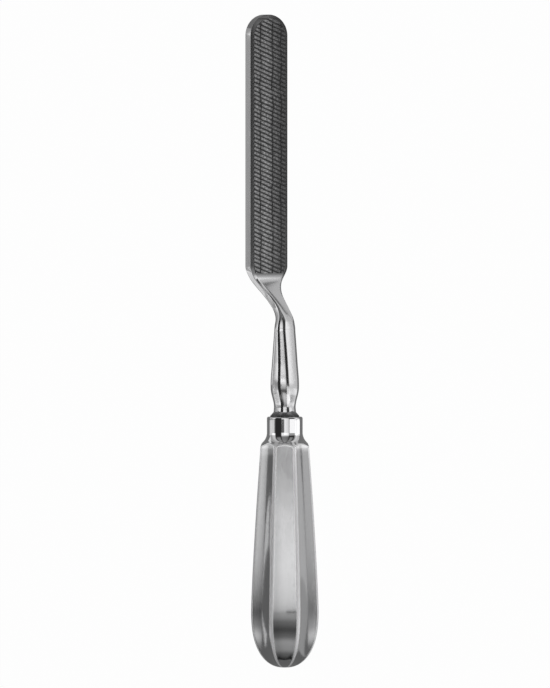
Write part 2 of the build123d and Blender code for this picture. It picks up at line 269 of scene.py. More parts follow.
def tool_point(station, towards_face, towards_edge):
    """A point of the tool, in metres, from its station and its two places across the axis."""
    point = BUTT_POINT + AXIS_WAY * station + FACE_WAY * towards_face + EDGE_WAY * towards_edge
    return point * MM


def turned_point(station, radius, angle):
    """A point at a radius from the axis and an angle from the face's middle."""
    return tool_point(station, radius * cos(angle), radius * sin(angle))


def steps(start, end, count):
    return [between(start, end, index / count) for index in range(count)]


def add_object(name, data):
    made = bpy.data.objects.new(name, data)
    bpy.context.collection.objects.link(made)
    return made


def mesh_piece(name, points, faces):
    mesh = bpy.data.meshes.new(name)
    mesh.from_pydata([tuple(point) for point in points], [], faces)
    mesh.validate()
    mesh.shade_smooth()
    piece = add_object(name, mesh)
    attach(piece, "root")
    return piece


def skin_rings(rings):
    """Points and faces of a closed skin over rings that all have as many points."""
    size = len(rings[0])
    points = [point for ring in rings for point in ring]
    faces = []
    for ring in range(len(rings) - 1):
        low, high = ring * size, (ring + 1) * size
        for corner in range(size):
            after = (corner + 1) % size
            faces.append((low + corner, low + after, high + after, high + corner))
    for first, turn in ((0, -1), ((len(rings) - 1) * size, 1)):
        middle = len(points)
        points.append(sum(points[first : first + size], Vector()) / size)
        for corner in range(size):
            pair = (first + corner, first + (corner + 1) % size)
            faces.append((*pair[::turn], middle))
    return points, faces


class Socket:
    """A value in a node tree that Python's operators turn into Math nodes."""

    def __init__(self, maker, link):
        self.maker = maker
        self.link = link

    def math(self, operation, *others):
        return self.maker.node("ShaderNodeMath", {"operation": operation}, self, *others)

    def __add__(self, other):
        return self.math("ADD", other)

    __radd__ = __add__

    def __mul__(self, other):
        return self.math("MULTIPLY", other)

    __rmul__ = __mul__

    def __sub__(self, other):
        return self.math("SUBTRACT", other)

    def __rsub__(self, other):
        return (self * -1) + other

    def __truediv__(self, other):
        return self.math("DIVIDE", other)

    def least(self, other):
        return self.math("MINIMUM", other)

    def most(self, other):
        return self.math("MAXIMUM", other)

    def ramp(self, low, high):
        """0 at low, 1 at high and smooth between."""
        settings = {"interpolation_type": "SMOOTHSTEP"}
        return self.maker.node("ShaderNodeMapRange", settings, self, low, high)


class NodeMaker:
    """Adds nodes to one tree: a type, its settings, then the values or links of its sockets."""

    def __init__(self, tree):
        self.tree = tree
        self.tree.nodes.clear()

    def plug(self, socket, value):
        for item in value if isinstance(value, list) else [value]:
            if isinstance(item, Socket):
                self.tree.links.new(item.link, socket)
            elif item is not None:
                socket.default_value = item

    def node(self, kind, settings=None, *values, output=0, **named):
        made = self.tree.nodes.new(kind)
        for key, value in (settings or {}).items():
            setattr(made, key, value)
        sockets = [socket for socket in made.inputs if socket.enabled]
        for socket, value in zip(sockets, values):
            self.plug(socket, value)
        for name, value in named.items():
            self.plug(made.inputs[name.replace("_", " ")], value)
        outputs = [socket for socket in made.outputs if socket.enabled]
        return Socket(self, outputs[output]) if outputs else None

    def split(self, vector):
        """The three components of a vector."""
        kind = "ShaderNodeSeparateXYZ"
        return (self.node(kind, None, vector, output=index) for index in range(3))

    def join(self, *values):
        return self.node("ShaderNodeCombineXYZ", None, *values)

    def mix(self, share, first, second):
        """A colour between two colours."""
        return self.node("ShaderNodeMix", {"data_type": "RGBA"}, share, first, second)

    def course(self, value, stops):
        """A smooth course through pairs of a place and its level."""
        level = stops[0][1]
        for (start, low), (end, high) in zip(stops, stops[1:]):
            level = value.ramp(start, end) * (high - low) + level
        return level

    def way(self, vector, direction):
        """How far a vector reaches along a direction."""
        settings = {"operation": "DOT_PRODUCT"}
        return self.node("ShaderNodeVectorMath", settings, vector, tuple(direction))

    def noise(self, vector, scale, detail, stretch=None):
        if stretch:
            vector = self.node("ShaderNodeMapping", None, vector, Scale=stretch)
        return self.node("ShaderNodeTexNoise", None, vector, scale, detail)


def grey(value):
    """A grey with a trace of blue."""
    return (value, value, value * 1.01, 1)


def lined_up(shader):
    """Object coordinates with x across, y along the tool and z up, in millimetres."""
    where = shader.node("ShaderNodeTexCoord", output=3)
    across = shader.way(where, SIDE_WAY / MM)
    along = shader.way(where, AXIS_WAY / MM)
    up = shader.way(where, TOP_WAY / MM)
    return shader.join(across, along, up)


def steel(name, *, colour, polished_colour, roughness, polished_roughness, grain_scale, bump):
    """Ground steel with grain lines along the tool. The piece's own attributes say where it is
    polished and where its crests have a painted highlight, where a painted highlight runs along
    its ridges and rims, and where painted shade, and the dark of a joint, make it darker."""
    material = bpy.data.materials.new(name)
    material.use_nodes = True
    shader = NodeMaker(material.node_tree)
    place = lined_up(shader)
    polish, depth, wear = (
        shader.node("ShaderNodeAttribute", {"attribute_name": attribute}, output=2)
        for attribute in ("polish", "gullet", "wear")
    )
    grain = shader.noise(place, 1.0, 3.0, grain_scale)
    clouds = shader.noise(place, CLOUD_SCALE, 2.0)
    scratches = shader.noise(place, 1.0, 1.0, SCRATCH_SCALE).ramp(*SCRATCHES)
    rough = (grain - 0.5) * UNEVEN_GROUND + (clouds - 0.5) * UNEVEN_GROUND + roughness
    smooth = (clouds - 0.5) * UNEVEN_POLISHED + polished_roughness
    rough = rough * (1 - polish) + polish * smooth
    rough = rough + scratches * SCRATCH_ROUGHNESS + depth * SHADE_AND_JOINT_ROUGHNESS
    # Painted highlight: the ridges and rims get their own roughness and a light colour
    highlight_roughness = HIGHLIGHT_ROUGHNESS + (grain - 0.5) * UNEVEN_HIGHLIGHT
    rough = rough * (1 - wear) + wear * highlight_roughness
    tone = (grain - 0.5) * GRAIN_TONE + (clouds - 0.5) * CLOUD_TONE + 0.5
    base = shader.mix(tone, grey(colour * DARKER), grey(colour * LIGHTER))
    base = shader.mix(polish, base, grey(polished_colour))
    base = shader.mix(wear, base, grey(HIGHLIGHT_COLOUR))
    # Painted shade on the teeth and the blade, and the foot's dark joint
    base = shader.mix(depth, base, grey(colour * SHADE_AND_JOINT_DARKNESS))
    height = grain * (1 - polish * GRAIN_POLISHED_OFF)
    cut = scratches * (1 - polish * SCRATCHES_POLISHED_OFF) * SCRATCH_DEPTH
    height = height - cut
    normal = shader.node("ShaderNodeBump", Strength=bump, Distance=BUMP_HEIGHT, Height=height)
    kind = "ShaderNodeBsdfPrincipled"
    surface = shader.node(kind, Base_Color=base, Metallic=1.0, Roughness=rough, Normal=normal)
    shader.node("ShaderNodeOutputMaterial", None, surface)
    return material


def give_attribute(piece, name, values, rest):
    """A value for each of the first points, and the same for the rest of them."""
    layer = piece.data.attributes.new(name, "FLOAT", "POINT")
    left = len(layer.data) - len(values)
    layer.data.foreach_set("value", values + [rest] * left)


def a_length(name, description, millimetres):
    """A length, kept in metres as the scene is."""
    start = millimetres * MM
    return FloatProperty(name=name, description=description, default=start, subtype="DISTANCE")


def an_angle(name, description, degrees):
    start = radians(degrees)
    return FloatProperty(name=name, description=description, default=start, subtype="ANGLE")


def a_share(name, description, start):
    return FloatProperty(
        name=name, description=description, default=start, min=0, max=1, subtype="FACTOR"
    )


def a_number(name, description, start):
    return FloatProperty(name=name, description=description, default=start)


def in_millimetres(group):
    """The sizes of a property group as plain numbers, its lengths in millimetres."""
    sizes = SimpleNamespace()
    for prop in group.bl_rna.properties:
        if prop.type in {"FLOAT", "INT"}:
            value = getattr(group, prop.identifier)
            setattr(sizes, prop.identifier, value / MM if prop.subtype == "DISTANCE" else value)
    return sizes


class BoneFileHandle(bpy.types.PropertyGroup):
    """Sizes of the handle."""

    top_width: a_length("Front width", "Across the ridges at the front", 17.3)
    top_at: a_length("Front station", "Where the front width is", 76.5)
    taper_curve: a_number("Taper curve", "How late the taper sets in", 1.25)
    fullness: a_number("Butt fullness", "How full the domed butt is", 2.4)
    bluntness: a_number("Butt bluntness", "How blunt its pole is", 2.3)
    flats: IntProperty(name="Flutes", description="Hollow flutes round the handle", default=8)
    ridge_width: a_length("Ridge width", "Width of the round ridges", 1.0)
    hollow: a_length("Flute hollow", "Depth of a flute at its middle", 0.4)
    edge_round: a_length("Edge rounding", "Rounding of the flutes' edges", 0.4)
    collar_width: a_length("Collar diameter", "Of the turned collar", 12.5)
    collar_end: a_length("Collar end", "Station of the collar's face", 87.8)
    rim_radius: a_length("Rim radius", "Rounding of the collar's rim", 0.6)
    shoulder_share: a_share("Shoulder", "Share of the way to the flutes", 0.7)
    shoulder_at: a_length("Shoulder station", "Where the flare ends", 79.0)
    socket_radius: a_length("Socket radius", "Of the tang's socket", 3.1)
    socket_end: a_length("Socket end", "Station of its bottom", 40.3)


class BoneFileBlade(bpy.types.PropertyGroup):
    """Sizes of the blade, crank and shank."""

    tip_length: a_length("Tip length", "Of the oval tip", 7.4)
    margin_width: a_length("Margin width", "Of the bevelled margin", 1.35)
    margin_depth: a_length("Margin depth", "Of the bevelled margin", 0.3)
    crank_start: a_length("Crank start", "Station", 120.9)
    crank_end: a_length("Crank end", "Station", 136.5)
    throat_at: a_length("Throat station", "Narrowest place", 126.0)
    throat_width: a_length("Throat width", "Width there", 5.4)
    shoulder_curve: a_number("Shoulder curve", "How late it widens", 1.35)
    edge_round: a_length("Edge rounding", "Of the blade's edges", 0.16)
    shank_round: a_length("Shank rounding", "Of the shank's edges", 1.15)
    foot_width: a_length("Foot diameter", "Of the foot on the collar", 10.2)
    foot_top: a_length("Foot top", "Its diameter at the shank", 7.2)
    foot_edge: a_length("Foot edge", "Height of its rim", 0.4)
    foot_length: a_length("Foot length", "Its whole height", 2.0)
    tang_width: a_length("Tang diameter", "Of the hidden tang", 6.0)
    tang_length: a_length("Tang length", "Of the hidden tang", 46.0)


class BoneFileTeeth(bpy.types.PropertyGroup):
    """Sizes of the cut teeth."""

    start: a_length("Teeth start", "Station of the first row", 137.9)
    pitch: a_length("Row pitch", "Along the blade", 1.5)
    slant: an_angle("Row slant", "Of the rows", 18.4)
    front: a_share("Front share", "Of the pitch, for the cutting side", 0.3)
    depth: a_length("Tooth depth", "From crest to gullet", 0.36)
    height: a_length("Tooth height", "Of the crests above the flat", 0.42)
    over_pitch: a_length("Overcut pitch", "Of the second, finer cut", 0.84)
    over_slant: an_angle("Overcut slant", "Of the finer cut, the other way", 10.5)
    over_depth: a_length("Overcut depth", "Of the finer cut", 0.2)
    seam_width: a_length("Seam width", "Of the long grooves", 0.5)
    seam_depth: a_length("Seam depth", "Of the long grooves", 0.3)
    seam_left: a_length("Left seam", "Its place across the face", -4.6)
    seam_middle: a_length("Middle seam", "Its place", 1.3)
    seam_right: a_length("Right seam", "Its place", 5.5)
    gap: a_length("Field gap", "From the teeth to the margin", 0.1)
    jitter: a_length("Hand cutting", "Uneven height, tooth by tooth", 0.08)
    seed: IntProperty(name="Seed", description="Of the uneven heights", default=7)


class BoneFileStage(bpy.types.PropertyGroup):
    """The studio."""

    lens: FloatProperty(name="Lens", description="Focal length", default=800.0, unit="CAMERA")
    floor: FloatVectorProperty(
        name="Floor", description="Its colour", default=(0.1, 0.1, 0.1), subtype="COLOR"
    )


def handle_half_width(station, sizes):
    widest = HANDLE_WIDTH / 2
    if station < HANDLE_WIDEST_AT:
        left = 1 - station / HANDLE_WIDEST_AT
        return widest * (1 - left**sizes.fullness) ** (1 / sizes.bluntness)
    share = (station - HANDLE_WIDEST_AT) / (sizes.top_at - HANDLE_WIDEST_AT)
    return widest - (widest - sizes.top_width / 2) * share**sizes.taper_curve


def turned_radius(station, sizes):
    """Radius of the turned blank: cone, flare, collar and its rounded rim."""
    collar = sizes.collar_width / 2
    flutes = handle_half_width(sizes.shoulder_at, sizes) * (1 - sizes.hollow / (HANDLE_WIDTH / 2))
    shoulder = between(collar, flutes, sizes.shoulder_share)
    flare = (shoulder - collar) / (1 - cos(pi / 4))
    start = sizes.shoulder_at + flare * sin(pi / 4)
    if station < sizes.shoulder_at:
        return shoulder + sizes.shoulder_at - station
    if station < start:
        return collar + flare - sqrt(flare**2 - (start - station) ** 2)
    past = station - (sizes.collar_end - sizes.rim_radius)
    if past <= 0:
        return collar
    return collar - sizes.rim_radius + sqrt(max(sizes.rim_radius**2 - past**2, 0))


def fluted_radius(station, angle, sizes):
    """Distance from the axis to a flute or ridge, for an angle from the middle of a flute."""
    half_flat = pi / sizes.flats
    ridge_half = asin(sizes.ridge_width / HANDLE_WIDTH)
    width = handle_half_width(station, sizes)
    growth = width / (HANDLE_WIDTH / 2)
    ridge = width / cos(half_flat - ridge_half)
    bottom = growth * (HANDLE_WIDTH / 2 - sizes.hollow)
    sag = width - bottom
    reach = ridge * sin(half_flat - ridge_half)
    curve = (reach**2 + sag**2) / (2 * sag)
    middle = bottom + curve
    under = curve**2 - (middle * sin(angle)) ** 2
    flute = middle * cos(angle) - sqrt(max(under, 0))
    return flute, ridge


class BONEFILE_OT_handle(bpy.types.Operator):
    """Make the turned and fluted handle with its collar and socket"""

    bl_idname = "bonefile.handle"
    bl_label = "Handle"

    def execute(self, context):
        sizes = in_millimetres(context.scene.bone_file_handle)
        half_flat = pi / sizes.flats
        half = [-half_flat + angle for angle in NEAR_RIDGE]
        angles_of_flat = half + [0.0] + [-angle for angle in reversed(half[1:])]
        around = [
            (angle, angle + flat * 2 * half_flat)
            for flat in range(sizes.flats)
            for angle in angles_of_flat
        ]
        stations = [
            HANDLE_WIDEST_AT * (1 - cos(pi / 2 * share))
            for share in steps(DOME_START, 1, DOME_RINGS)
        ]
        stations += steps(HANDLE_WIDEST_AT, ARCHES_START, BODY_RINGS)
        stations += steps(ARCHES_START, ARCHES_END, ARCH_RINGS)
        stations += steps(ARCHES_END, sizes.collar_end - sizes.rim_radius, COLLAR_RINGS)
        stations += [
            sizes.collar_end - sizes.rim_radius * (1 - sin(pi / 2 * share))
            for share in steps(0, 1, RIM_RINGS) + [1.0]
        ]
        rings, polish, wear = [], [], []
        for station in stations:
            blend = sizes.edge_round * min(1, handle_half_width(station, sizes) / ROUND_FROM)
            turned = turned_radius(station, sizes)
            at_flutes = ease((HIGHLIGHT_END - station) / HIGHLIGHT_FADE)
            ring = []
            for angle, whole_angle in around:
                flute, ridge = fluted_radius(station, angle, sizes)
                ground = soft_min(flute, ridge, max(blend, LEAST_ROUND))
                radius = soft_min(ground, turned, ARCH_BLEND)
                ring.append(turned_point(station, radius, whole_angle))
                # Painted highlight along the ridges and on the rim round the flutes' ends
                on_ridge = 1 - ease((ridge - flute) / RIDGE_HIGHLIGHT) if turned > ground else 0.0
                on_rim = 1 - ease(abs(ground - turned) / RIM_HIGHLIGHT)
                wear.append(max(on_ridge, on_rim) * at_flutes)
                into_flare = ground - turned + FLARE_POLISH_START
                polish.append(ease(into_flare / FLARE_POLISH_FADE))
            rings.append(ring)
        point_at = sizes.socket_end - sizes.socket_radius / tan(DRILL_POINT_HALF_ANGLE)
        for radius, station in (
            (sizes.socket_radius, sizes.collar_end),
            (sizes.socket_radius, sizes.socket_end),
            (SOCKET_POINT, point_at),
        ):
            rings.append([turned_point(station, radius, whole) for _, whole in around])
        points, faces = skin_rings(rings)
        piece = mesh_piece("handle_shell", points, faces)
        give_attribute(piece, "polish", polish, SOCKET_POLISH)
        give_attribute(piece, "wear", wear, 0.0)
        metal = steel(
            "ground_handle_steel",
            colour=0.44,
            polished_colour=0.64,
            roughness=0.1,
            polished_roughness=0.05,
            grain_scale=(5, 0.25, 5),
            bump=0.07,
        )
        piece.data.materials.append(metal)
        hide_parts("handle")
        return {"FINISHED"}


def curve_through(places, values, place):
    """A smooth curve through a few values, with the slopes of a Catmull-Rom spline."""
    last = len(places) - 1
    index = max(i for i in range(last) if places[i] <= place or i == 0)

    def slope(at):
        low, high = max(at - 1, 0), min(at + 1, last)
        return (values[high] - values[low]) / (places[high] - places[low])

    span = places[index + 1] - places[index]
    t = (place - places[index]) / span
    start, end = values[index], values[index + 1]
    rise, fall = slope(index) * span, slope(index + 1) * span
    return (
        (2 * t**3 - 3 * t**2 + 1) * start
        + (t**3 - 2 * t**2 + t) * rise
        + (3 * t**2 - 2 * t**3) * end
        + (t**3 - t**2) * fall
    )


def blade_section(station, sizes):
    """Offset, half width at the edge and at the flat, and half thickness at both."""
    neck_at, neck_width, neck_thickness, neck_bevel = SHANK_SECTIONS[-1]
    blade_thickness = BLADE_EDGE_THICKNESS + 2 * sizes.margin_depth
    tip_base = TOOL_LENGTH - sizes.tip_length
    if station <= neck_at:
        places = [row[0] for row in SHANK_SECTIONS]
        width, thickness, bevel = (
            curve_through(places, [row[column] for row in SHANK_SECTIONS], station)
            for column in (1, 2, 3)
        )
        return 0.0, width / 2, width / 2 - bevel, thickness / 2 - bevel, thickness / 2
    along = (station - sizes.crank_start) / (sizes.crank_end - sizes.crank_start)
    offset = -CRANK_OFFSET * ease(along)
    slope = 0.0
    if 0 < along < 1:
        slope = CRANK_OFFSET * 6 * along * (1 - along) / (sizes.crank_end - sizes.crank_start)
    to_throat = ease((station - neck_at) / (sizes.throat_at - neck_at))
    width = between(neck_width, sizes.throat_width, to_throat)
    if station > sizes.throat_at:
        share = min((station - sizes.throat_at) / (BLADE_START_AT - sizes.throat_at), 1)
        width = between(sizes.throat_width, BLADE_WIDTH, ease(share**sizes.shoulder_curve))
    thickness = between(neck_thickness, blade_thickness, to_throat) * sqrt(1 + slope**2)
    margin = between(neck_bevel, sizes.margin_width, to_throat)
    drop = between(neck_bevel, sizes.margin_depth, to_throat)
    outer, inner = width / 2, width / 2 - margin
    flat = thickness / 2
    edge = flat - drop
    if station > tip_base:
        past = min(station - tip_base, sizes.tip_length)
        outer *= sqrt(max(1 - (past / sizes.tip_length) ** 2, 0))
        inner_length = sizes.tip_length - sizes.margin_width
        if past < inner_length:
            inner *= sqrt(1 - (past / inner_length) ** 2)
        else:
            inner = 0.0
            flat -= drop * (past - inner_length) / sizes.margin_width
    return offset, outer, inner, edge, flat


def rounded_corners(corners, rounding):
    """Each corner becomes a small round that starts and ends on its two sides."""
    points = []
    count = len(corners)
    for index, corner in enumerate(corners):
        before = corners[index - 1] - corner
        after = corners[(index + 1) % count] - corner
        reach_before = min(rounding, before.length * CORNER_REACH)
        reach_after = min(rounding, after.length * CORNER_REACH)
        start = corner + before.normalized() * reach_before
        end = corner + after.normalized() * reach_after
        for t in CORNER_STEPS:
            points.append(start * (1 - t) ** 2 + corner * 2 * t * (1 - t) + end * t**2)
    return points


class BONEFILE_OT_blade(bpy.types.Operator):
    """Make the forging: tang, foot, faceted shank, crank and bevelled blade"""

    bl_idname = "bonefile.blade"
    bl_label = "Blade"

    def execute(self, context):
        sizes = in_millimetres(context.scene.bone_file_blade)
        tip_base = TOOL_LENGTH - sizes.tip_length
        stations = steps(SHANK_SECTIONS[0][0], BLADE_START_AT, SHANK_RINGS)
        stations += steps(BLADE_START_AT, tip_base, BLADE_RINGS)
        stations += [
            tip_base + sizes.tip_length * sin(pi / 2 * share) for share in steps(0, 1, TIP_RINGS)
        ]
        stations.append(TOOL_LENGTH - TIP_END)
        rings, polish, shade_and_joint_dark = [], [], []
        for station in stations:
            offset, outer, inner, edge, flat = blade_section(station, sizes)
            corners = [
                Vector(pair)
                for pair in (
                    (flat, -inner), (flat, inner), (edge, outer), (-edge, outer),
                    (-flat, inner), (-flat, -inner), (-edge, -outer), (edge, -outer),
                )
            ]
            to_blade = ease((station - sizes.crank_start) / (BLADE_START_AT - sizes.crank_start))
            rounding = between(sizes.shank_round, sizes.edge_round, to_blade)
            corners = rounded_corners(corners, rounding)
            rings.append([tool_point(station, offset + corner.x, corner.y) for corner in corners])
            shine = SHANK_POLISH if station < BLADE_START_AT else BLADE_POLISH
            polish += [shine] * len(corners)
            # Painted shade on the blade's margins and faces
            dark = MARGIN_SHADE * ease((station - MARGIN_SHADE_START) / MARGIN_SHADE_FADE)
            shade_and_joint_dark += [dark if abs(corner.y) < outer - MARGIN_SHADE_EDGE else 0.0 for corner in corners]
        points, faces = skin_rings(rings)
        shift = len(points)
        polish += [BLADE_POLISH] * (shift - len(polish))
        shade_and_joint_dark += [0.0] * (shift - len(shade_and_joint_dark))

        collar_end = in_millimetres(context.scene.bone_file_handle).collar_end
        tang_end = collar_end - sizes.tang_length
        rim_end, crown = collar_end + sizes.foot_edge, collar_end + sizes.foot_length
        foot, tang, top = sizes.foot_width / 2, sizes.tang_width / 2, sizes.foot_top / 2
        profile = (
            (tang - TANG_BEVEL[0], tang_end), (tang, tang_end + TANG_BEVEL[1]),
            (tang, collar_end - TANG_GUARD), (tang, collar_end),
            (foot - FOOT_BEVEL[0], collar_end), (foot, collar_end + FOOT_BEVEL[1]),
            (foot, rim_end - RIM_BEVEL[1]), (foot - RIM_BEVEL[0], rim_end),
            (top, crown), (top - CROWN_BEVEL[0], crown + CROWN_BEVEL[1]),
        )
        foot_rings = [
            [turned_point(at, radius, 2 * pi * i / FOOT_POINTS) for i in range(FOOT_POINTS)]
            for radius, at in profile
        ]
        foot_points, foot_faces = skin_rings(foot_rings)
        points += foot_points
        faces += [tuple(corner + shift for corner in face) for face in foot_faces]
        for index in range(len(foot_points)):
            shade_and_joint_dark.append(FOOT_STAIN if index // FOOT_POINTS in FOOT_RINGS else 0.0)
        piece = mesh_piece("blade_forging", points, faces)
        give_attribute(piece, "polish", polish, SHANK_POLISH)
        give_attribute(piece, "gullet", shade_and_joint_dark, 0.0)
        metal = steel(
            "ground_blade_steel",
            colour=0.5,
            polished_colour=0.62,
            roughness=0.2,
            polished_roughness=0.1,
            grain_scale=(6, 0.3, 6),
            bump=0.15,
        )
        piece.data.materials.append(metal)
        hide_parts("file_blade")
        return {"FINISHED"}


def field_outline(sizes, blade):
    """The field that the teeth fill, as a solid: x across the face, y along, z out of it."""
    inset = blade.margin_width + sizes.gap
    half = BLADE_WIDTH / 2 - inset
    tip_base, tip_reach = TOOL_LENGTH - blade.tip_length, blade.tip_length - inset
    start_half = blade_section(sizes.start, blade)[1] - inset
    angles = [pi * i / OUTLINE_POINTS for i in range(OUTLINE_POINTS + 1)]
    outline = [(start_half, sizes.start), (half, BLADE_START_AT)]
    outline += [(half * cos(angle), tip_base + tip_reach * sin(angle)) for angle in angles]
    outline += [(-half, BLADE_START_AT), (-start_half, sizes.start)]
    count = len(outline)
    points = [(x, y, z) for z in OUTLINE_LEVELS for x, y in outline]
    faces = [tuple(reversed(range(count))), tuple(range(count, 2 * count))]
    for i in range(count):
        after = (i + 1) % count
        faces.append((i, after, after + count, i + count))
    mesh = bpy.data.meshes.new("field_outline")
    mesh.from_pydata(points, [], faces)
    return mesh


def tooth_tree(material):
    """Geometry nodes that cut rows of teeth, the finer overcut and the seams into the outline."""
    tree = bpy.data.node_groups.new("cut_teeth", "GeometryNodeTree")
    maker = NodeMaker(tree)
    tree.interface.new_socket("Teeth", in_out="OUTPUT", socket_type="NodeSocketGeometry")
    tree.interface.new_socket("Outline", in_out="INPUT", socket_type="NodeSocketGeometry")
    for name in TOOTH_INPUTS:
        tree.interface.new_socket(name, in_out="INPUT", socket_type="NodeSocketFloat")
    inputs = tree.nodes.new("NodeGroupInput")
    given = {socket.name: Socket(maker, socket) for socket in inputs.outputs if socket.name}
    across, along, up = maker.split(maker.node("GeometryNodeInputPosition"))
    low = given["Height"] - given["Depth"]

    def seeded_noise(first, second, detail=1.0):
        return maker.noise(maker.join(first, second, given["Seed"]), 1.0, detail)

    # A block of fine steps, each of them given its height below
    block_size = maker.join(given["Width"], given["Length"], 1.0)
    lines = (given["Length"] / given["Pitch"] * LINES_PER_ROW + 1).math("ROUND")
    columns = (given["Width"] / COLUMN_WIDTH).math("ROUND")
    block = maker.node("GeometryNodeMeshCube", None, block_size, columns, lines, 2)

    # Rows: a long rise to the crest and a short fall, slanted and a little uneven
    from_start = along + given["Length"] / 2 - given["Pitch"] * ROWS_BEFORE
    rows = from_start / given["Pitch"]
    row = (rows + ROW_SLACK).math("FLOOR")
    share = rows - row
    rise = share / (1 - given["Front"])
    fall = (1 - share) / given["Front"]
    crest = low + given["Depth"] * rise.least(fall).most(0)
    down = across * given["Slant"].math("TANGENT")
    wobble = seeded_noise(across * WOBBLE_SCALE[0], row * WOBBLE_SCALE[1])
    place = from_start + given["Start"] - down + (wobble - 0.5) * WOBBLE

    # The finer overcut, slanted the other way
    over = (place - across * given["Overcut Slant"].math("TANGENT")) / given["Overcut Pitch"]
    over = over.math("FRACT") * 2 - 1
    notch = given["Height"] - given["Overcut Depth"] * (1 - over.math("ABSOLUTE")).math("SQRT")
    uneven = seeded_noise(across * UNEVEN_SCALE[0], row * UNEVEN_SCALE[1], 2.0)
    top = crest.least(notch) - uneven * given["Jitter"] * 2

    # Seams that wander and break off
    wander = seeded_noise(place * WANDER_SCALE, WANDER_LANE)
    strayed = across + (wander - 0.5) * WANDER
    breaks = seeded_noise(across * BREAK_SCALE[0], place * BREAK_SCALE[1]).ramp(*BREAKS)
    for seam in ("Left Seam", "Middle Seam", "Right Seam"):
        off = (strayed - given[seam]).math("ABSOLUTE")
        groove = (1 - off.ramp(0, given["Seam Width"] / 2 + SEAM_FADE)) * breaks
        top = top - groove * given["Seam Depth"]
    top = top.most(low - SEAM_BOTTOM).least(given["Height"])

    is_top = up.math("GREATER_THAN", 0)
    height = is_top * top - (1 - is_top)
    moved = maker.join(across, place, height)
    block = maker.node("GeometryNodeSetPosition", Geometry=block, Position=moved)
    solver = {"operation": "INTERSECT", "solver": "MANIFOLD"}
    teeth = maker.node("GeometryNodeMeshBoolean", solver, [block, given["Outline"]])

    # Painted shade in the gullets and painted highlights on the crests, in columns of painted
    # light along the blade and in specks
    column = maker.course(strayed, PAINTED_LIGHT_COLUMNS)
    above = up.ramp(low - SEAM_BOTTOM, given["Height"] - SHADE_TOP)
    # Painted shade, darker down in the gullets and in the darker columns
    gullet = 1 - above * (LEAST_LIGHT + column * COLUMN_LIGHT)
    specks = seeded_noise(across * SPECKLE_SCALE, along * SPECKLE_SCALE).ramp(*SPECKS)
    # Painted highlight on the crests, in the columns of painted light and in specks
    shine = up.ramp(given["Height"] - POLISH_START, given["Height"] - POLISH_FULL) * column
    shine = shine * (specks * SPECK_SHINE + LEAST_SHINE)
    store = {"data_type": "FLOAT", "domain": "POINT"}
    for name, value in (("gullet", gullet), ("polish", shine)):
        kind = "GeometryNodeStoreNamedAttribute"
        teeth = maker.node(kind, store, Geometry=teeth, Name=name, Value=value)
    teeth = maker.node("GeometryNodeSetShadeSmooth", Geometry=teeth, Shade_Smooth=False)
    teeth = maker.node("GeometryNodeRealizeInstances", None, teeth)
    teeth = maker.node("GeometryNodeSetMaterial", Geometry=teeth, Material=material)
    maker.node("NodeGroupOutput", None, teeth)
    return tree


class BONEFILE_OT_teeth(bpy.types.Operator):
    """Cut the rows of teeth on both faces of the blade"""

    bl_idname = "bonefile.teeth"
    bl_label = "Teeth"

    def execute(self, context):
        sizes = in_millimetres(context.scene.bone_file_teeth)
        blade = in_millimetres(context.scene.bone_file_blade)
        sizes.width, sizes.length = BLADE_WIDTH, TOOTH_ROWS * sizes.pitch
        metal = steel(
            "cut_tooth_steel",
            colour=0.46,
            polished_colour=0.9,
            roughness=0.3,
            polished_roughness=0.25,
            grain_scale=(4, 0.6, 4),
            bump=0.3,
        )
        tree = tooth_tree(metal)
        inputs = [item for item in tree.interface.items_tree if item.name in TOOTH_INPUTS]
        flat = BLADE_EDGE_THICKNESS / 2 + blade.margin_depth
        for name, side in (("upper_teeth", 1), ("lower_teeth", -1)):
            blank = add_object("blank_" + name, field_outline(sizes, blade))
            modifier = blank.modifiers.new("Teeth", "NODES")
            modifier.node_group = tree
            for item in inputs:
                shift = OTHER_SEED if item.name == "Seed" and side < 0 else 0
                modifier[item.identifier] = float(getattr(sizes, TOOTH_INPUTS[item.name])) + shift
            result = blank.evaluated_get(context.evaluated_depsgraph_get())
            mesh = bpy.data.meshes.new_from_object(result)
            bpy.data.objects.remove(blank)
            if len(mesh.vertices) < FEWEST_POINTS:
                raise RuntimeError("the teeth were not cut")
            turn = Matrix((EDGE_WAY * side, AXIS_WAY, FACE_WAY * side)).transposed().to_4x4()
            at = BUTT_POINT - FACE_WAY * CRANK_OFFSET + FACE_WAY * side * flat
            mesh.transform(Matrix.Scale(MM, 4) @ Matrix.Translation(at) @ turn)
            piece = add_object(name, mesh)
            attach(piece, "root")
        return {"FINISHED"}


def white_floor(colour):
    """A floor that is white to the camera, with the tool's shadow, and dark to the steel."""
    mesh = bpy.data.meshes.new("floor")
    rest = CAD_BOX[0][2] - FLOOR_GAP
    square = ((-1, -1), (1, -1), (1, 1), (-1, 1))
    corners = [(x * FLOOR_REACH, y * FLOOR_REACH, rest) for x, y in square]
    mesh.from_pydata(corners, [], [(0, 1, 2, 3)])
    paint = bpy.data.materials.new("floor_paint")
    paint.use_nodes = True
    maker = NodeMaker(paint.node_tree)
    camera, glossy, through = (
        maker.node("ShaderNodeLightPath", output=ray)
        for ray in (CAMERA_RAY, GLOSSY_RAY, TRANSMISSION_RAY)
    )
    seen = (camera + glossy * GLOSSY_WHITE + through).least(1)
    matt = maker.node("ShaderNodeBsdfDiffuse", None, (*colour, 1))
    white = maker.node("ShaderNodeEmission", None, (1, 1, 1, 1), 1.0)
    whole = maker.node("ShaderNodeMixShader", None, seen * FLOOR_WHITE, matt, white)
    maker.node("ShaderNodeOutputMaterial", None, whole)
    mesh.materials.append(paint)
    return add_object("floor", mesh)


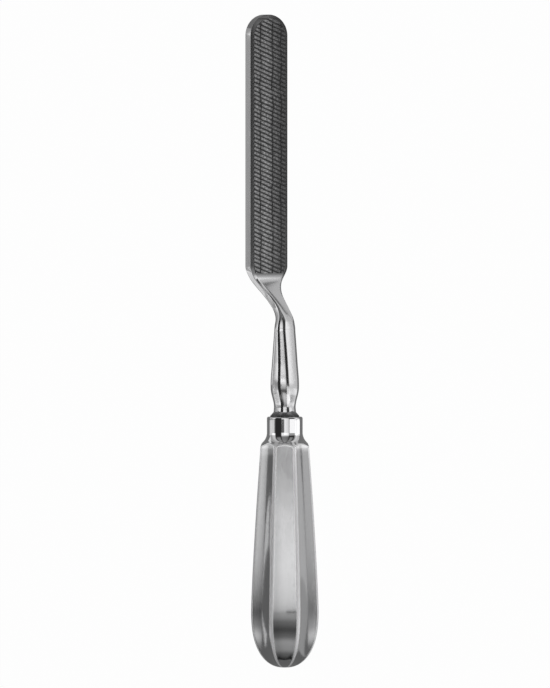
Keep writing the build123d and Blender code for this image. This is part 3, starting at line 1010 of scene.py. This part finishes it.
def band(angle, start, full, last, end):
    """1 in a band of angles, with a smooth edge on both sides, and 0 outside it."""
    return angle.ramp(start, full) * (1 - angle.ramp(last, end))


def surroundings():
    """A white background for the camera, and soft lamps and sides that the steel mirrors."""
    world = bpy.data.worlds.new("studio")
    world.use_nodes = True
    maker = NodeMaker(world.node_tree)
    to_right, to_tip, upward = maker.split(maker.node("ShaderNodeTexCoord"))
    across = to_right.math("ARCTAN2", upward) * (180 / pi)
    along = to_tip.math("ARCSINE") * (180 / pi)

    lamp = maker.course(across, LAMP_ACROSS) * maker.course(along, LAMP_ALONG)
    gap = band(along - across * FRONT_GAP_SLANT, *FRONT_GAP)
    lamp = lamp * (1 - gap) * (1 - along.ramp(*LAMP_FADE) * LAMP_FADE_DEPTH)
    collar_gap = band(along, *COLLAR_GAP) * (1 - across.ramp(*COLLAR_GAP_END))
    lamp = lamp * (1 - collar_gap * COLLAR_GAP_DEPTH)
    left = maker.course(across, LEFT_ACROSS) * maker.course(along, LEFT_ALONG)
    right = maker.course(across, RIGHT_ACROSS) * maker.course(along, RIGHT_ALONG)
    sides = band(across, *LEFT_SIDE) + band(across, *RIGHT_SIDE)
    side_ends = band(along, *BUTT_SIDE) * BUTT_SIDE_LEVEL + band(along, *TIP_SIDE) * TIP_SIDE_LEVEL
    sides = sides * side_ends
    level = lamp + left + right + sides + along.ramp(*TIP_SKY) * TIP_SKY_LEVEL + DARKEST
    seen = maker.node("ShaderNodeLightPath", output=CAMERA_RAY)
    level = level * (1 - seen) + seen
    sky = maker.node("ShaderNodeCombineColor", None, level, level, level)
    glow = maker.node("ShaderNodeBackground", None, sky, 1.0)
    maker.node("ShaderNodeOutputWorld", None, glow)
    return world


def soft_card(name, tilt, away, lift, width, ends, level, aside):
    """A white card as an area light that lies along the tool and faces the line it turns about."""
    size = (ends[1] - ends[0]) * MM
    data = bpy.data.lights.new(name, "AREA")
    data.shape = "RECTANGLE"
    data.size, data.size_y = width * MM, size
    data.energy = level * pi * width * MM * size
    light = add_object(name, data)
    tilt = radians(tilt)
    light.rotation_euler = (0, tilt, 0)
    middle = (ends[0] + ends[1]) / 2
    light.location = Vector((away * sin(tilt) + aside, middle, away * cos(tilt) + lift)) * MM
    light.visible_camera = False


def photo_camera(lens):
    """A camera straight above that frames the tool as the photograph does."""
    data = bpy.data.cameras.new("photo_camera")
    data.sensor_fit = "VERTICAL"
    data.sensor_height = SENSOR_HEIGHT
    data.lens = lens
    camera = add_object("photo_camera", data)
    scale = TOOL_LENGTH * cos(REST_TILT) / (PHOTO_BUTT_Y - PHOTO_TIP_Y)
    middle_x = BUTT_POINT.x + (PHOTO_WIDTH / 2 - PHOTO_AXIS_X) * scale
    middle_y = BUTT_POINT.y + (PHOTO_BUTT_Y - PHOTO_HEIGHT / 2) * scale
    away = PHOTO_HEIGHT * scale * lens / SENSOR_HEIGHT
    camera.location = Vector((middle_x, middle_y, BUTT_POINT.z + away)) * MM
    return camera


class BONEFILE_OT_studio(bpy.types.Operator):
    """Make the white floor, the soft surroundings and the camera of the photograph"""

    bl_idname = "bonefile.studio"
    bl_label = "Studio"

    def execute(self, context):
        sizes = context.scene.bone_file_stage
        floor = white_floor(sizes.floor)
        context.scene.world = surroundings()
        for card in CARDS:
            soft_card(*card)
        context.scene.camera = photo_camera(sizes.lens)
        context.scene.view_settings.view_transform = "Standard"
        return {"FINISHED"}


class BONEFILE_PT_panel(bpy.types.Panel):
    """Lists the operators that make the bone file"""

    bl_idname = "BONEFILE_PT_panel"
    bl_label = "Bone file"
    bl_space_type = "VIEW_3D"
    bl_region_type = "UI"
    bl_category = "Bone file"

    def draw(self, context):
        for operator in OPERATORS:
            self.layout.operator(operator.bl_idname)


GROUPS = {
    "bone_file_handle": BoneFileHandle,
    "bone_file_blade": BoneFileBlade,
    "bone_file_teeth": BoneFileTeeth,
    "bone_file_stage": BoneFileStage,
}
OPERATORS = (BONEFILE_OT_studio, BONEFILE_OT_handle, BONEFILE_OT_blade, BONEFILE_OT_teeth)
CLASSES = (*GROUPS.values(), *OPERATORS, BONEFILE_PT_panel)


def register():
    for made in CLASSES:
        bpy.utils.register_class(made)
    for name, group in GROUPS.items():
        setattr(bpy.types.Scene, name, PointerProperty(type=group))


def unregister():
    for name in GROUPS:
        delattr(bpy.types.Scene, name)
    for made in reversed(CLASSES):
        bpy.utils.unregister_class(made)


def main():
    register()
    bpy.ops.bonefile.studio()
    bpy.ops.bonefile.handle()
    bpy.ops.bonefile.blade()
    bpy.ops.bonefile.teeth()


if __name__ == "__main__":
    main()
